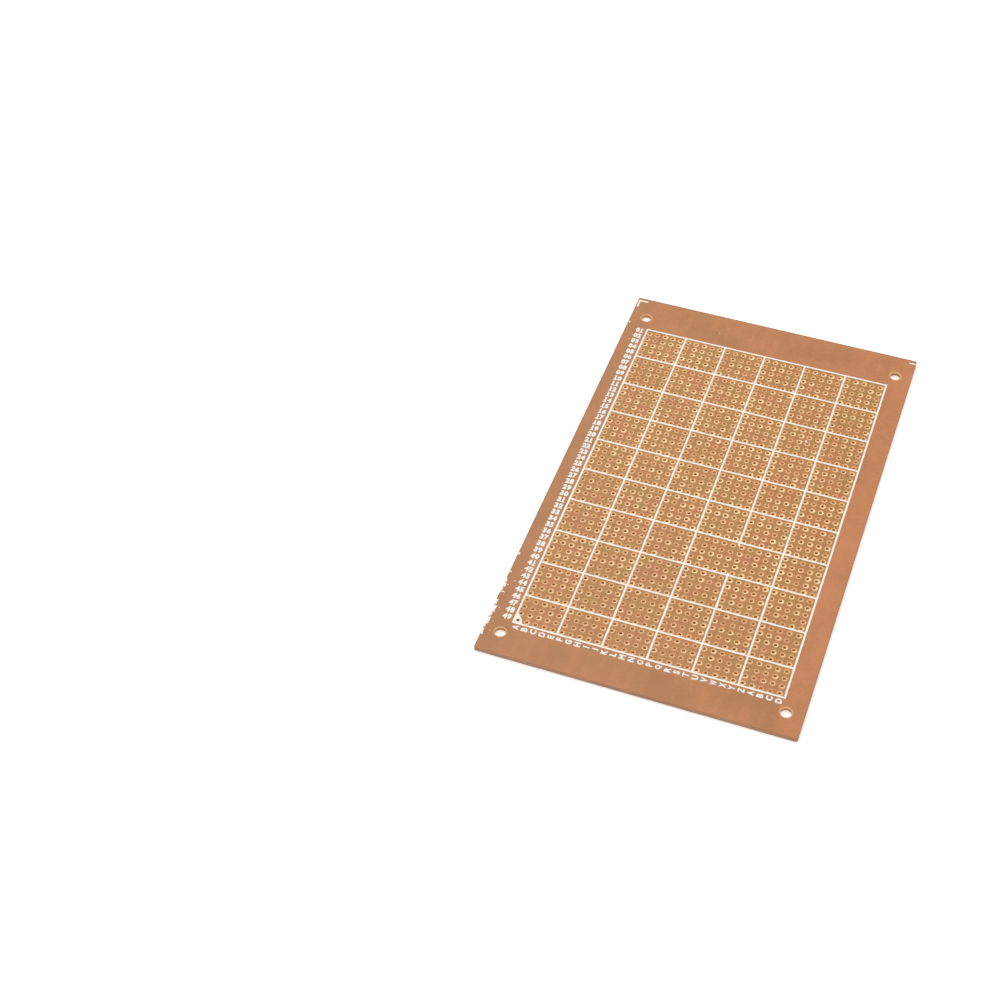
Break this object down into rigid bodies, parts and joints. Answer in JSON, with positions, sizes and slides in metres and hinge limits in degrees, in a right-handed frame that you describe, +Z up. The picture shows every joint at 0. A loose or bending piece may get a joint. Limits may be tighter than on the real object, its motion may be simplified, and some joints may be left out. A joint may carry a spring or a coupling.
{
  "type": "prototype circuit board",
  "caption": "Flat rectangular single-sided prototype circuit board: tan laminate, a grid of small round holes, white grid print on top, copper pads and contact fingers below.",
  "frame": {"origin": "centre of the board's outline, on the lower face of the copper that it lies on", "axes": "+X along the lettered columns, towards the last letter; +Y along the long side, towards the first row number; +Z up, out of the printed component side"},
  "size_m": [0.09, 0.15, 0.0012],
  "materials": {
    "laminate": "satin",
    "copper": "satin"
  },
  "bodies": {
    "root": {"laminate": "laminate", "lead_pads_01": "copper", "lead_pads_02": "copper", "lead_pads_03": "copper", "lead_pads_04": "copper", "lead_pads_05": "copper", "lead_pads_06": "copper", "lead_pads_07": "copper", "lead_pads_08": "copper", "lead_pads_09": "copper", "lead_pads_10": "copper", "contact_fingers_far": "copper", "contact_fingers_near": "copper"}
  },
  "joints": []
}
